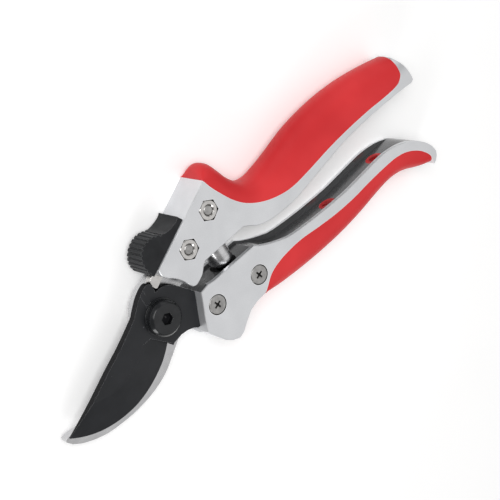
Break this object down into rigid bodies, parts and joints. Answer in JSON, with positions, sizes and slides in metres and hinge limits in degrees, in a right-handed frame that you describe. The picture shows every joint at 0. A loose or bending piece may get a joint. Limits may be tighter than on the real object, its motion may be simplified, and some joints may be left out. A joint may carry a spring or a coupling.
{
  "type": "pruning shears",
  "caption": "Bypass pruning shears with cast handles, soft grips, a bolted curved blade and hooked counter blade, a volute return spring and a sliding thumb catch.",
  "frame": {"origin": "on the pivot axis, in the plane in which the shears rest on their back", "axes": "+X from the pivot to the handle ends, +Y to the handle that carries the catch, +Z along the pivot bolt towards its head"},
  "size_m": [0.1947, 0.0652, 0.015],
  "materials": {
    "handle_metal": "satin",
    "grip_rubber": "soft matt",
    "blade_steel": "ground",
    "coated_steel": "black low-friction coating",
    "bright_steel": "nickel plated",
    "spring_steel": "bright",
    "catch_plastic": "moulded",
    "bushing_steel": "oiled"
  },
  "bodies": {
    "hook_side": {"upper_handle": "handle_metal", "upper_grip": "grip_rubber", "hook_blade": "blade_steel", "hook_screws": "bright_steel", "hook_nuts": "bright_steel", "pivot_bolt": "coated_steel", "pivot_nut": "bright_steel", "front_washer": "coated_steel", "back_washer": "bright_steel", "return_spring": "spring_steel", "detent_ball": "bright_steel", "detent_spring": "spring_steel"},
    "blade_side": {"lower_handle": "handle_metal", "lower_grip": "grip_rubber", "cutting_blade": "coated_steel", "blade_screws": "bright_steel", "blade_nuts": "bright_steel", "pivot_bushing": "bushing_steel"},
    "catch": {"catch_slider": "catch_plastic", "catch_tongue": "bright_steel"}
  },
  "joints": [
    {"name": "blade_pivot", "type": "hinge", "parent": "hook_side", "child": "blade_side", "pos_m": [0, 0, 0.0075], "axis": [0, 0, -1], "range_deg": [0, 28], "deforming": ["return_spring"]},
    {"name": "catch_slide", "type": "slide", "parent": "hook_side", "child": "catch", "axis": [0.9048, 0.4258, 0], "range_m": [0, 0.007]}
  ],
  "couplings": [
    {"joint": "catch_slide", "follows": "blade_pivot", "m_per_rad": 0.0143}
  ]
}
